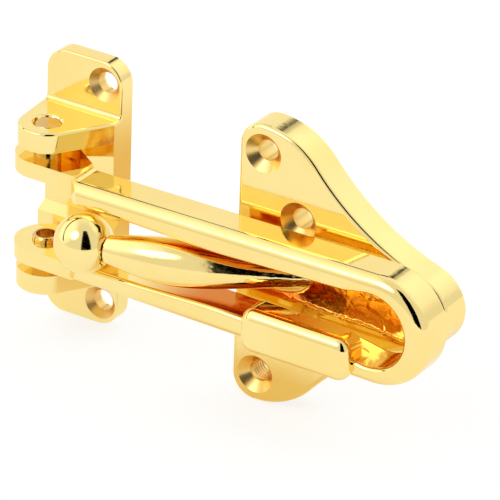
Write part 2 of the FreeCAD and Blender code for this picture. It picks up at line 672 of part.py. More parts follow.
def apex(first, first_reach, second, second_reach):
    """Find the upper point at given distances from two others."""
    base = second - first
    along = (first_reach ** 2 - second_reach ** 2 + base.Length ** 2) / (2 * base.Length)
    rise = (first_reach ** 2 - along ** 2) ** 0.5
    direction = Vector(base).normalize()
    return first + direction * along + Vector(-direction.y, direction.x, 0) * rise


def arc_middle(centre, start, end, radius):
    """Find the middle of a short arc from its centre and ends."""
    return centre + ((start - centre) + (end - centre)).normalize() * radius


def add_ball_arm(doc, body):
    """Ball arm: round sections along one arc that leans from the ball and sinks into the plate."""
    ball_x = f"({PIVOT_X} + Sizes.ball_reach - {DOOR_LEFT})"
    ball_y = f"({PIVOT_Y} - {BAR_FRONT} - Sizes.ball_proud - {DOOR_BACK})"
    run = f"(Sizes.root_place - {ball_x})"
    drop = f"(-Sizes.door_thick - {ball_y})"
    lean = "(Sizes.arm_lean * 1deg)"
    whole = f"(2 * atan({drop} / {run}) - {lean})"
    radius = f"({drop} / (cos({lean}) - cos({whole})))"
    buried = f"acos(cos({lean}) - ({drop} + Sizes.root_depth) / {radius})"
    stations = [
        (0.05, "Sizes.neck_diameter"),
        (0.22, "(Sizes.neck_diameter + Sizes.belly_diameter) / 2"),
        (0.4, "Sizes.belly_diameter"),
        (0.75, "(Sizes.belly_diameter + Sizes.root_diameter) / 2"),
        (1.0, "Sizes.root_diameter"),
    ]
    places = [(f"({lean} + ({whole} - {lean}) * {share})", diameter) for share, diameter in stations]
    places.append((buried, "Sizes.root_diameter"))
    sections = []
    for number, (angle, diameter) in enumerate(places, start=1):
        section = body.newObject("Sketcher::SketchObject", f"arm_section_{number}")
        section.AttachmentSupport = (plane(body, "YZ_Plane"), [""])
        section.MapMode = "FlatFace"
        section.AttachmentOffset = Placement(Vector(0, 0, 0), Rotation(Vector(0, 1, 0), 1))
        back = f"{ball_y} + {radius} * (cos({lean}) - cos({angle}))"
        along = f"{ball_x} + {radius} * (sin({angle}) - sin({lean}))"
        section.setExpression("AttachmentOffset.Base.x", back)
        section.setExpression("AttachmentOffset.Base.z", along)
        section.setExpression("AttachmentOffset.Rotation.Angle", angle)
        circle(section, ("0", "0"), f"{diameter} / 2")
        sections.append(section)
    doc.recompute()
    arm = body.newObject("PartDesign::AdditiveLoft", "arm")
    arm.Profile = sections[0]
    arm.Sections = sections[1:]
    arm.Ruled = False
    settle(arm)
    front, root = -value(doc, "Sizes.door_thick"), value(doc, "Sizes.root_place")
    reach = 1.4 * value(doc, "Sizes.root_diameter")
    seam = edges_where(arm, lambda point, edge: near(point.y, front) and
                       point.distanceToPoint(Vector(root, front, 0)) < reach)
    dress(body, "Fillet", "arm_root", seam, "Sizes.root_blend")
    ball = body.newObject("PartDesign::AdditiveSphere", "ball")
    ball.AttachmentSupport = (plane(body, "XY_Plane"), [""])
    ball.MapMode = "FlatFace"
    ball.setExpression("AttachmentOffset.Base.x", ball_x)
    ball.setExpression("AttachmentOffset.Base.y", ball_y)
    ball.setExpression("Radius", "Sizes.ball_diameter / 2")
    settle(ball)


def check(doc, bodies):
    """Stop if any object failed or any sub-part is not one sound solid."""
    for item in doc.Objects:
        if any(word in ("Invalid", "Error") for word in item.State):
            raise RuntimeError(f"{item.Name} failed: {item.State}")
    for body in bodies:
        shape = body.Shape
        if shape.isNull() or not shape.isValid() or len(shape.Solids) != 1:
            raise RuntimeError(f"{body.Label} is not one valid solid")


def main():
    """Build the door guard and write one file for each sub-part."""
    doc = FreeCAD.newDocument("door_guard")
    make_sheet(doc)
    bodies = [
        make_jamb_bracket(doc),
        make_pin(doc, "upper_pin", upside_down=False),
        make_pin(doc, "lower_pin", upside_down=True),
        make_swing_bar(doc),
        make_door_plate(doc),
    ]
    doc.recompute()
    check(doc, bodies)
    os.makedirs("parts", exist_ok=True)
    for body in bodies:
        body.Shape.exportStep(f"parts/{body.Label}.step")
        print(body.Label, f"{body.Shape.Volume:.1f} mm3")


main()
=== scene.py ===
"""Looks of the swing bar door guard: mirror-polished gold castings in a white light tent."""

import json
import logging
import math
from dataclasses import dataclass
from enum import Enum
from functools import partial, reduce

import bpy
import numpy as np
from mathutils import Matrix, Vector


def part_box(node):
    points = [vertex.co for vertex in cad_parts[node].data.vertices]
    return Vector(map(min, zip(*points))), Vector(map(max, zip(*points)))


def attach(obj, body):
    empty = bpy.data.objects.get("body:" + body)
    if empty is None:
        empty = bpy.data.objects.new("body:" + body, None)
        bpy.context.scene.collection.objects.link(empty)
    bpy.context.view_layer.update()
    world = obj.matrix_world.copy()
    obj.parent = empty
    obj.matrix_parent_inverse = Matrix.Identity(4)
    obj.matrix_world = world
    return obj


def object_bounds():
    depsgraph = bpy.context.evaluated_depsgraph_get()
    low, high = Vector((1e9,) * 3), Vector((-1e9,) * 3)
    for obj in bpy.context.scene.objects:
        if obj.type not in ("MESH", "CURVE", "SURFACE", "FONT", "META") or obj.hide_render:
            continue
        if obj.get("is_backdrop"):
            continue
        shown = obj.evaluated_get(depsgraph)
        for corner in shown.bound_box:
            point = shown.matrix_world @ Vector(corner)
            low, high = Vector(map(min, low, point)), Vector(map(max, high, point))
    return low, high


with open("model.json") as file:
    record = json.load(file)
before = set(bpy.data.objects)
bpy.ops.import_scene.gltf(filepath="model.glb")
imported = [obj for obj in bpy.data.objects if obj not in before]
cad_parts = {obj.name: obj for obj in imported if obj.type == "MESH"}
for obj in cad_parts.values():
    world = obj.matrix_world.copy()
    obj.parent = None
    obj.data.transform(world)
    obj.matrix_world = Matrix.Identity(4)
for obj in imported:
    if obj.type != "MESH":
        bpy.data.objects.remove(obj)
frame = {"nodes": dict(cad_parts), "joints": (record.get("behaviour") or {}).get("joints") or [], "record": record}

LOG = logging.getLogger("door_guard")
MILLIMETRE = 0.001
STILL_BODY = "fixed"
ALL_BOUNCES = 16
MIRROR_BOUNCES = 14

Socket = bpy.types.NodeSocket
Colour = tuple[float, float, float, float]
Way = tuple[float, float, float]
ScrewAxes = tuple[tuple[float, float], ...]

WHITE: Colour = (1.0, 1.0, 1.0, 1.0)
UPRIGHT: Way = (0.0, 0.0, 1.0)


class Slot(Enum):
    """Material slots of the record."""

    POLISHED = "polished_brass"
    PIN = "pin_brass"


class Nodes:
    """Short calls for laying out a shader tree."""

    def __init__(self, tree: bpy.types.NodeTree) -> None:
        """Start with an empty tree."""
        self.tree = tree
        tree.nodes.clear()

    def add(self, kind: str, **settings: object) -> bpy.types.Node:
        """Add one node.

        Args:
            kind: Blender's name for the node.
            **settings: properties set on the node.

        Returns:
            The new node.
        """
        node = self.tree.nodes.new(kind)
        for name, setting in settings.items():
            setattr(node, name, setting)
        return node

    def feed(self, target: Socket, source: object) -> None:
        """Give a socket a value, or link it to another node's output.

        Args:
            target: the socket to feed.
            source: a plain value, or the output that the target follows.
        """
        if isinstance(source, Socket):
            self.tree.links.new(source, target)
        else:
            target.default_value = source

    def place(self) -> Socket:
        """Give the position on the piece, in metres."""
        return self.add("ShaderNodeTexCoord").outputs["Object"]

    def parts(self, place: Socket) -> tuple[Socket, ...]:
        """Split a position into its X, Y and Z.

        Args:
            place: position on the piece.

        Returns:
            The three sockets, in that order.
        """
        node = self.add("ShaderNodeSeparateXYZ")
        self.feed(node.inputs[0], place)
        return tuple(node.outputs)

    def math(self, operation: str, *terms: object) -> Socket:
        """Work out a number from numbers or sockets.

        Args:
            operation: Blender's name for the sum.
            *terms: numbers or sockets, in the node's order.

        Returns:
            The socket that carries the answer.
        """
        node = self.add("ShaderNodeMath", operation=operation)
        for socket, term in zip(node.inputs, terms):
            self.feed(socket, term)
        return node.outputs[0]

    def over_all(self, operation: str, terms: list[Socket]) -> Socket:
        """Carry a sum of two terms through a whole list, such as a product or the largest."""
        return reduce(partial(self.math, operation), terms)

    def distance(self, across: Socket, along: Socket) -> Socket:
        """Work out the root of the sum of two squares.

        Args:
            across: how far one way.
            along: how far the other way.

        Returns:
            The straight distance.
        """
        squares = [self.math("POWER", side, 2.0) for side in (across, along)]
        return self.math("SQRT", self.math("ADD", *squares))

    def dot(self, vector: Socket, axis: Way) -> Socket:
        """Measure a vector along an axis.

        Args:
            vector: what is measured.
            axis: direction of the axis.

        Returns:
            The length along it.
        """
        node = self.add("ShaderNodeVectorMath", operation="DOT_PRODUCT")
        self.feed(node.inputs[0], vector)
        self.feed(node.inputs[1], axis)
        return node.outputs["Value"]

    def mix(self, share: Socket, first: object, second: object) -> Socket:
        """Mix two colours, given as values or sockets.

        Args:
            share: share of the second colour.
            first: colour where the share is none.
            second: colour where the share is one.

        Returns:
            The mixed colour.
        """
        node = self.add("ShaderNodeMix", data_type="RGBA")
        self.feed(node.inputs["Factor"], share)
        self.feed(node.inputs["A"], first)
        self.feed(node.inputs["B"], second)
        return node.outputs["Result"]

    def ramp(self, source: Socket, low: float, high: float,
             start: object = 0.0, end: object = 1.0) -> Socket:
        """Carry a number smoothly from one range to another, held at the ends.

        Args:
            source: the number that goes in.
            low: where the change begins.
            high: where the change ends.
            start: answer at and below low.
            end: answer at and above high.

        Returns:
            The socket that carries the answer.
        """
        node = self.add("ShaderNodeMapRange", interpolation_type="SMOOTHSTEP")
        for name, term in (("Value", source), ("From Min", low), ("From Max", high),
                           ("To Min", start), ("To Max", end)):
            self.feed(node.inputs[name], term)
        return node.outputs[0]

    def fall(self, source: Socket, low: float, high: float) -> Socket:
        """Carry a number from one down to none between two values."""
        return self.ramp(source, low, high, 1.0, 0.0)

    def rays(self, *kinds: str) -> Socket:
        """Tell rays of some kinds from all the others.

        Args:
            *kinds: Blender's names for the kinds.

        Returns:
            One for those rays, none for the others.
        """
        light_path = self.add("ShaderNodeLightPath")
        return self.over_all("MAXIMUM", [light_path.outputs[kind] for kind in kinds])

    def bump(self, height: Socket, unit: float = 1.0) -> Socket:
        """Tilt the surface as a height over it would.

        Args:
            height: the height, in units.
            unit: metres to a unit.

        Returns:
            The tilted normal.
        """
        node = self.add("ShaderNodeBump")
        self.feed(node.inputs["Distance"], unit)
        self.feed(node.inputs["Height"], height)
        return node.outputs["Normal"]

    def metal(self, colour: Socket, roughness: object, normal: Socket) -> bpy.types.Node:
        """Close the tree with a bare metal surface.

        Args:
            colour: colour of the metal.
            roughness: a value or a socket.
            normal: the tilted normal.

        Returns:
            The shader, for settings of its own.
        """
        shader = self.add("ShaderNodeBsdfPrincipled")
        shader.inputs["Metallic"].default_value = 1.0
        self.feed(shader.inputs["Base Color"], colour)
        self.feed(shader.inputs["Roughness"], roughness)
        self.feed(shader.inputs["Normal"], normal)
        self.feed(self.add("ShaderNodeOutputMaterial").inputs["Surface"], shader.outputs["BSDF"])
        return shader


def new_material(name: str) -> tuple[bpy.types.Material, Nodes]:
    """Make a material with an empty tree.

    Args:
        name: name of the finish.

    Returns:
        The material, and the calls for laying out its tree.
    """
    material = bpy.data.materials.new(name)
    material.use_nodes = True
    return material, Nodes(material.node_tree)


@dataclass(frozen=True)
class Grain:
    """A cloud pattern: how fine it is, how much finer cloud it holds, and how far it is bent."""

    scale: float
    detail: float
    bend: float = 0.0

    def value(self, nodes: Nodes, place: Socket) -> Socket:
        """Work out the pattern, from none to one.

        Args:
            nodes: the material's tree.
            place: position on the piece.

        Returns:
            The pattern's value.
        """
        cloud = nodes.add("ShaderNodeTexNoise")
        for name, term in (("Vector", place), ("Scale", self.scale), ("Detail", self.detail),
                           ("Distortion", self.bend)):
            nodes.feed(cloud.inputs[name], term)
        return cloud.outputs[0]


@dataclass(frozen=True)
class ScrewSeats:
    """Countersinks, which stay as the drill left them, less polished than the faces, and browner with painted
    shade.

    Their share fades between two depths under the back face, so that none shows on it.
    """

    axes: ScrewAxes
    back: float
    reach: float
    soft_edge: float = 0.15 * MILLIMETRE
    back_deep: float = 0.6 * MILLIMETRE
    back_skin: float = 0.15 * MILLIMETRE

    def share(self, nodes: Nodes, place: Socket) -> Socket:
        """Work out where a countersink is: one inside its rim, none outside or on the back face.

        Args:
            nodes: the material's tree.
            place: position on the piece.

        Returns:
            The share, from the distance to the nearest screw axis.
        """
        x, y, z = nodes.parts(place)
        distances = [nodes.distance(nodes.math("SUBTRACT", x, across), nodes.math("SUBTRACT", z, above))
                     for across, above in self.axes]
        nearest = nodes.over_all("MINIMUM", distances)
        inside = nodes.fall(nearest, self.reach - self.soft_edge, self.reach)
        ahead = nodes.fall(y, self.back - self.back_deep, self.back - self.back_skin)
        return nodes.math("MULTIPLY", inside, ahead)


@dataclass(frozen=True)
class SlotShade:
    """Inner wall of the bar's slot, where the buffing wheel does not reach: rougher, and browner with painted
    shade.

    Its painted shade begins to thin, and is thinnest, at two distances before the centre of the slot's round end.
    """

    start: float
    end_centre: float
    front: float
    half_height: float = 7.0 * MILLIMETRE
    end_radius: float = 8.4 * MILLIMETRE
    flare_run: float = 14.0 * MILLIMETRE
    start_run: float = 18.0 * MILLIMETRE
    front_run: float = 1.6 * MILLIMETRE
    # Painted shade in the slot thins between these two distances, down to end_shade_share near the round end.
    shade_thins_from: float = 30.0 * MILLIMETRE
    shade_thinnest_at: float = 15.0 * MILLIMETRE
    end_shade_share: float = 0.4
    soft_edge: float = 0.8 * MILLIMETRE
    inner_edge: float = 2.5 * MILLIMETRE

    def share(self, nodes: Nodes, place: Socket) -> Socket:
        """Work out where the slot's wall is rougher and has painted shade: one on the wall, none on the faces
        round it.

        The distance past the wall is that to the slot's middle line, which ends at the centre of
        its round end, less the half height, which widens to the end's radius. The painted shade and
        roughness begin softly along the slot, and are less near the round end.

        Args:
            nodes: the material's tree.
            place: position on the piece.

        Returns:
            The share.
        """
        x, y, z = nodes.parts(place)
        past_centre = nodes.math("MAXIMUM", nodes.math("SUBTRACT", x, self.end_centre), 0.0)
        wall = nodes.ramp(x, self.end_centre - self.flare_run, self.end_centre,
                          self.half_height, self.end_radius)
        past_wall = nodes.math("SUBTRACT", nodes.distance(past_centre, z), wall)
        shares = [nodes.fall(past_wall, 0.0, self.soft_edge),
                  nodes.ramp(past_wall, -self.inner_edge, self.soft_edge - self.inner_edge),
                  nodes.ramp(x, self.start, self.start + self.start_run),
                  # Less painted shade and roughness near the slot's round end.
                  nodes.ramp(x, self.end_centre - self.shade_thins_from, self.end_centre - self.shade_thinnest_at,
                             1.0, self.end_shade_share),
                  nodes.ramp(y, self.front, self.front + self.front_run)]
        return nodes.over_all("MULTIPLY", shares)


@dataclass(frozen=True)
class ShadedRipplePocket:
    """Pocket behind the bar's slot, which no wheel reaches: with the mould's ripple, and darker with painted
    shade, as it lies behind the bar.

    Its share fades between two depths under the back face, so that none shows on it.
    """

    first: float
    last: float
    back: float
    # Colour of the painted shade in the pocket.
    colour: Colour = (0.90, 0.735, 0.31, 1.0)
    half_height: float = 7.5 * MILLIMETRE
    end_run: float = 3.0 * MILLIMETRE
    side_run: float = 1.5 * MILLIMETRE
    back_deep: float = 1.5 * MILLIMETRE
    back_skin: float = 0.375 * MILLIMETRE
    ripple: Grain = Grain(scale=260.0, detail=1.0, bend=1.2)
    ripple_depth: float = 0.16 * MILLIMETRE

    def share(self, nodes: Nodes, place: Socket) -> Socket:
        """Work out where the pocket is: one inside a long box, none outside or on the back face.

        Args:
            nodes: the material's tree.
            place: position on the piece.

        Returns:
            The share, soft at the edges.
        """
        x, y, z = nodes.parts(place)
        aside = nodes.math("ABSOLUTE", z)
        shares = [nodes.ramp(x, self.first, self.first + self.end_run),
                  nodes.fall(x, self.last - self.end_run, self.last),
                  nodes.fall(aside, self.half_height - self.side_run, self.half_height),
                  nodes.fall(y, self.back - self.back_deep, self.back - self.back_skin)]
        return nodes.over_all("MULTIPLY", shares)

    def height(self, nodes: Nodes, place: Socket) -> Socket:
        """Work out the ripple's height in metres: a bent cloud pattern times the depth."""
        return nodes.math("MULTIPLY", self.ripple.value(nodes, place), self.ripple_depth)


@dataclass(frozen=True)
class PolishedGold:
    """Bright gold plate over a polished casting, with a faint orange peel and buffing haze."""

    name: str
    rough_shaded_places: ScrewSeats | SlotShade
    bright: Colour = (0.955, 0.77, 0.318, 1.0)
    rich: Colour = (0.95, 0.735, 0.275, 1.0)
    # brown is painted shade, mixed into the rough places by brown_share: the countersinks and the slot's wall.
    brown: Colour = (0.86, 0.47, 0.12, 1.0)
    edge_tint: Colour = (1.0, 0.96, 0.86, 1.0)
    brown_share: float = 0.35
    cloud: Grain = Grain(scale=60.0, detail=2.0)
    cloud_range: tuple[float, float] = (0.35, 0.65)
    haze: Grain = Grain(scale=900.0, detail=3.0)
    haze_range: tuple[float, float] = (0.3, 0.8)
    peel: Grain = Grain(scale=700.0, detail=2.0)
    peel_depth: float = 0.007 * MILLIMETRE
    smooth: float = 0.06
    hazy: float = 0.1
    dull: float = 0.28
    pocket: ShadedRipplePocket | None = None

    def material(self) -> bpy.types.Material:
        """Make the material: clouded colour, hazed gloss and a shallow ripple.

        Returns:
            The new material.
        """
        material, nodes = new_material(self.name)
        place = nodes.place()
        dull = self.rough_shaded_places.share(nodes, place)
        clouded = nodes.ramp(self.cloud.value(nodes, place), *self.cloud_range)
        gold = nodes.mix(clouded, self.bright, self.rich)
        # Painted shade: the rough places (countersinks, slot wall) are mixed toward brown.
        colour = nodes.mix(nodes.math("MULTIPLY", dull, self.brown_share), gold, self.brown)
        height = nodes.math("MULTIPLY", self.peel.value(nodes, place), self.peel_depth)
        if self.pocket:
            inside = self.pocket.share(nodes, place)
            # Painted shade: the pocket behind the bar is darker.
            colour = nodes.mix(inside, colour, self.pocket.colour)
            height = nodes.math("MULTIPLY_ADD", inside, self.pocket.height(nodes, place), height)
        gloss = nodes.ramp(self.haze.value(nodes, place), *self.haze_range, self.smooth, self.hazy)
        roughness = nodes.ramp(dull, 0.0, 1.0, gloss, self.dull)
        shader = nodes.metal(colour, roughness, nodes.bump(height))
        shader.inputs["Specular Tint"].default_value = self.edge_tint
        return material


@dataclass(frozen=True)
class PlateGold(PolishedGold):
    """Gold of the two plates that are screwed on, which are buffed less than the bar."""

    smooth: float = 0.08
    hazy: float = 0.13


@dataclass(frozen=True)
class TurnedBrass:
    """Brass pin ends as they leave the lathe: fine rings round the pin's own axis.

    The ring pattern, at a scale of one, repeats at every wave unit.
    """

    name: str = "turned_brass"
    crest: Colour = (0.80, 0.54, 0.19, 1.0)
    groove: Colour = (0.58, 0.35, 0.11, 1.0)
    pitch: float = 0.35 * MILLIMETRE
    wave_unit: float = 0.314
    wander: float = 0.6
    roughness: float = 0.16
    depth: float = 0.006 * MILLIMETRE

    def material(self, axis: Vector) -> bpy.types.Material:
        """Make the material, with its rings centred on the pin.

        Args:
            axis: a point on the pin's upright axis.

        Returns:
            The new material.
        """
        material, nodes = new_material(self.name)
        centre = nodes.add("ShaderNodeMapping")
        nodes.feed(centre.inputs["Vector"], nodes.place())
        nodes.feed(centre.inputs["Location"], (-axis.x, -axis.y, 0.0))
        rings = nodes.add("ShaderNodeTexWave", wave_type="RINGS", rings_direction="Z")
        nodes.feed(rings.inputs["Vector"], centre.outputs["Vector"])
        nodes.feed(rings.inputs["Scale"], self.wave_unit / self.pitch)
        nodes.feed(rings.inputs["Distortion"], self.wander)
        height = rings.outputs["Fac"]
        colour = nodes.mix(height, self.groove, self.crest)
        nodes.metal(colour, self.roughness, nodes.bump(height, self.depth))
        return material


def grid_object(name: str, points: np.ndarray, finish: bpy.types.Material,
                closed: bool) -> bpy.types.Object:
    """Make a smooth object from a grid of points.

    Args:
        name: name of the piece.
        points: array of rows by columns by three, in metres.
        finish: the material to wear.
        closed: whether the last column meets the first, with the end rows filled in.

    Returns:
        The new object, with a face between each four neighbours.
    """
    rows, columns = points.shape[:2]
    index = np.arange(rows * columns).reshape(rows, columns)
    if closed:
        index = np.concatenate([index, index[:, :1]], axis=1)
    corners = [index[:-1, :-1], index[1:, :-1], index[1:, 1:], index[:-1, 1:]]
    faces = np.stack(corners, -1).reshape(-1, len(corners)).tolist()
    if closed:
        faces += [index[0, :-1].tolist(), index[-1, -2::-1].tolist()]
    mesh = bpy.data.meshes.new(name)
    mesh.from_pydata(points.reshape(-1, 3), [], faces)
    mesh.polygons.foreach_set("use_smooth", np.ones(len(mesh.polygons), bool))
    mesh.materials.append(finish)
    mesh.update()
    piece = bpy.data.objects.new(name, mesh)
    bpy.context.scene.collection.objects.link(piece)
    return piece


@dataclass
class SubAssembly:
    """Pieces that belong together. Places along the object are measured from the pivot."""

    pivot: Vector

    def dress(self) -> list[bpy.types.Object]:
        """Give the pieces their finish and return them."""
        raise NotImplementedError

    @staticmethod
    def wear(node: str, finish: bpy.types.Material, slot: Slot) -> bpy.types.Object:
        """Put a finish on every face of a solid, which keeps its shape.

        Args:
            node: name of the solid.
            finish: the material to wear.
            slot: the record's slot for it; not used.

        Returns:
            The dressed object.
        """
        piece = frame["nodes"][node]
        piece.data.materials.clear()
        piece.data.materials.append(finish)
        return piece


@dataclass
class JambBracket(SubAssembly):
    """Narrow plate with two ears, which is screwed to the jamb."""

    screws: ScrewAxes
    seat_reach: float = 4.0 * MILLIMETRE

    def dress(self) -> list[bpy.types.Object]:
        """Plate the bracket, with rough countersinks in painted brown shade.

        Returns:
            The bracket alone.
        """
        seats = ScrewSeats(self.screws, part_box("jamb_bracket")[1].y, self.seat_reach)
        gold = PlateGold("bracket_gold", seats, dull=0.38, brown_share=0.5)
        return [self.wear("jamb_bracket", gold.material(), Slot.POLISHED)]


@dataclass
class SwingBar(SubAssembly):
    """Long loop that swings on the pins."""

    slot_start: float = 26.6 * MILLIMETRE
    slot_end_centre: float = 86.3 * MILLIMETRE
    slot_front: float = 9.4 * MILLIMETRE
    # Colour of the painted shade on the slot's wall.
    slot_shade_brown: Colour = (0.70, 0.21, 0.03, 1.0)

    def dress(self) -> list[bpy.types.Object]:
        """Plate the bar, with painted brown shade on the rougher wall of its slot.

        Returns:
            The bar alone.
        """
        slot_shade = SlotShade(start=self.pivot.x + self.slot_start,
                            end_centre=self.pivot.x + self.slot_end_centre,
                            front=self.pivot.y - self.slot_front)
        gold = PolishedGold("bar_gold", slot_shade, brown=self.slot_shade_brown, brown_share=1.0, dull=0.14)
        return [self.wear("swing_bar", gold.material(), Slot.POLISHED)]


@dataclass
class BoreRidges:
    """Tap marks in bores of the door plate, one helical ridge to each hole."""

    screws: ScrewAxes
    back: float
    bore: float = 4.8 * MILLIMETRE
    depth: float = 5.0 * MILLIMETRE
    margin: float = 0.35 * MILLIMETRE
    height: float = 0.18 * MILLIMETRE
    half_width: float = 0.25 * MILLIMETRE
    pitch: float = 0.8 * MILLIMETRE
    tip_share: float = 0.1
    steps_a_turn: int = 40
    steps_across: int = 10

    def build(self, finish: bpy.types.Material) -> list[bpy.types.Object]:
        """Make one ridge to each bore.

        Args:
            finish: the material to wear.

        Returns:
            The new pieces.
        """
        pieces = []
        for number, (x, z) in enumerate(self.screws, start=1):
            piece = grid_object(f"bore_ridge_{number}", self.ridge(x, z), finish, closed=True)
            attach(piece, STILL_BODY)
            pieces.append(piece)
        return pieces

    def ridge(self, x: float, z: float) -> np.ndarray:
        """Work out a ridge that winds along the wall of a bore.

        At turn angle a, the ridge's middle is on the wall, pitch times a over a full turn in front
        of the back face. Round that middle runs an oval: height times a cosine inwards and half the
        width times a sine along the bore. The oval grows from its share at the tip over the first
        half turn and shrinks again over the last.

        Args:
            x: sideways place of the bore's axis.
            z: height of the bore's axis.

        Returns:
            Points on a grid, turn angle by place round the oval.
        """
        turns = (self.depth - 2 * self.margin) / self.pitch
        angle = np.linspace(0.0, 2 * np.pi * turns, int(turns * self.steps_a_turn))[:, None]
        around = np.linspace(0.0, 2 * np.pi, self.steps_across, endpoint=False)[None, :]
        size = np.clip(np.minimum(angle, angle[-1] - angle) / np.pi, self.tip_share, 1.0)
        radius = self.bore / 2 - size * self.height * np.cos(around)
        middle = self.back - self.margin - self.pitch * angle / (2 * np.pi)
        along = middle + size * self.half_width * np.sin(around)
        return np.stack([x + radius * np.cos(angle), along, z + radius * np.sin(angle)], -1)


@dataclass
class DoorPlate(SubAssembly):
    """Bell-shaped plate with the arm and its ball, which is screwed to the door."""

    screws: ScrewAxes
    seat_reach: float = 4.45 * MILLIMETRE
    pocket_first: float = 56.0 * MILLIMETRE
    pocket_last: float = 98.0 * MILLIMETRE

    def dress(self) -> list[bpy.types.Object]:
        """Plate the door plate, and add the tap marks in its lower bores.

        Returns:
            The plate, then its ridges.
        """
        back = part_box("door_plate")[1].y
        seats = ScrewSeats(self.screws, back, self.seat_reach)
        # The pocket behind the bar is darker with painted shade.
        pocket = ShadedRipplePocket(first=self.pivot.x + self.pocket_first,
                             last=self.pivot.x + self.pocket_last, back=back)
        gold = PlateGold("door_gold", seats, pocket=pocket).material()
        lower_screws = tuple((x, z) for x, z in self.screws if z < 0)
        plate = self.wear("door_plate", gold, Slot.POLISHED)
        return [plate, *BoreRidges(lower_screws, back).build(gold)]


@dataclass
class HingePins(SubAssembly):
    """The two pins that the bar swings on."""

    pins: tuple[str, ...] = ("upper_pin", "lower_pin")

    def dress(self) -> list[bpy.types.Object]:
        """Give both pins their turned brass and return them."""
        brass = TurnedBrass().material(self.pivot)
        return [self.wear(pin, brass, Slot.PIN) for pin in self.pins]


@dataclass(frozen=True)
class FloorShade:
    """A soft oval on the floor where the object keeps the light off and throws gold light back."""

    centre: tuple[float, float]
    reach: tuple[float, float]
    colour: Colour
    heart: float = 0.3

    def share(self, nodes: Nodes, place: Socket) -> Socket:
        """Work out where the shade is: one in its heart, none past its reach.

        Args:
            nodes: the floor's tree.
            place: position on the floor.

        Returns:
            The share, from the distance to the centre in reaches.
        """
        across, along, _ = nodes.parts(place)
        reaches = [nodes.math("DIVIDE", nodes.math("SUBTRACT", side, middle), reach)
                   for side, middle, reach in zip((across, along), self.centre, self.reach)]
        return nodes.fall(nodes.distance(*reaches), self.heart, 1.0)


@dataclass(frozen=True)
class TentPanel:
    """A round patch of the tent that a lamp shines through, from its edge to its bright heart."""

    way: Way
    edge: float
    heart: float
    glow: float

    def light(self, nodes: Nodes, way: Socket) -> Socket:
        """Work out the light that the panel adds in each direction."""
        near = nodes.ramp(nodes.dot(way, self.way), self.edge, self.heart)
        return nodes.math("MULTIPLY", near, self.glow)


@dataclass(frozen=True)
class TentGap:
    """A dark gap between two sheets of the tent, along a straight edge seen from the object."""

    across: Way
    half_width: float
    first: float
    last: float
    fade: float
    along: Way = (1.0, 0.0, 0.0)
    edge_softness: float = 0.2
    lowest: float = 0.1
    low_fade: float = 0.05

    def light(self, nodes: Nodes, way: Socket) -> Socket:
        """Work out the light that is left in each direction: none in the gap, one elsewhere.

        Args:
            nodes: the world's tree.
            way: direction that is looked in.

        Returns:
            The share of light.
        """
        off = nodes.math("ABSOLUTE", nodes.dot(way, self.across))
        run = nodes.dot(way, self.along)
        softness = self.half_width * self.edge_softness
        outside = [nodes.ramp(off, self.half_width - softness, self.half_width + softness),
                   nodes.fall(run, self.first - self.fade, self.first),
                   nodes.ramp(run, self.last, self.last + self.fade),
                   nodes.fall(nodes.dot(way, UPRIGHT), self.lowest, self.lowest + self.low_fade)]
        return nodes.over_all("MAXIMUM", outside)


@dataclass(frozen=True)
class CameraSlit:
    """Black upright slit in the tent that the camera looks through. Sizes are slopes from the object."""

    middle: float = 0.2
    black_half_width: float = 0.33
    half_width: float = 0.36
    black_height: float = 3.0
    height: float = 3.3
    least_ahead: float = 0.0001

    def light(self, nodes: Nodes, way: Socket, right: Vector) -> Socket:
        """Work out the light that is left in each direction: none in the slit, one outside.

        Args:
            nodes: the world's tree.
            way: direction that is looked in.
            right: the camera's level right.

        Returns:
            The share of light.
        """
        front = (right.y, -right.x, 0.0)
        ahead = nodes.math("MAXIMUM", nodes.dot(way, front), self.least_ahead)
        aside = nodes.math("DIVIDE", nodes.dot(way, tuple(right)), ahead)
        above = nodes.math("DIVIDE", nodes.dot(way, UPRIGHT), ahead)
        off_middle = nodes.math("ABSOLUTE", nodes.math("SUBTRACT", aside, self.middle))
        outside = [nodes.ramp(off_middle, self.black_half_width, self.half_width),
                   nodes.ramp(above, self.black_height, self.height)]
        return nodes.over_all("MAXIMUM", outside)


FLOOR_SHADES = (
    FloorShade(centre=(0.045, 0.055), reach=(0.065, 0.052), colour=(0.76, 0.45, 0.05, 1.0)),
    FloorShade(centre=(0.043, -0.016), reach=(0.045, 0.019), colour=(0.83, 0.60, 0.25, 1.0)),
)
TENT_PANELS = (
    TentPanel(way=(-0.79, -0.30, 0.53), edge=0.70, heart=0.97, glow=0.54),
    TentPanel(way=(0.38, 0.64, 0.67), edge=0.82, heart=0.97, glow=0.25),
    TentPanel(way=(-0.25, -0.66, 0.71), edge=0.95, heart=0.985, glow=2.4),
    TentPanel(way=(-0.47, 0.75, 0.46), edge=0.5, heart=0.9, glow=0.14),
)
TENT_GAPS = (
    TentGap(across=(-0.491, 0.502, -0.711), half_width=0.05, first=-0.82, last=-0.26, fade=0.16),
    TentGap(across=(-0.086, -0.636, 0.767), half_width=0.03, first=-0.31, last=-0.23, fade=0.04),
)


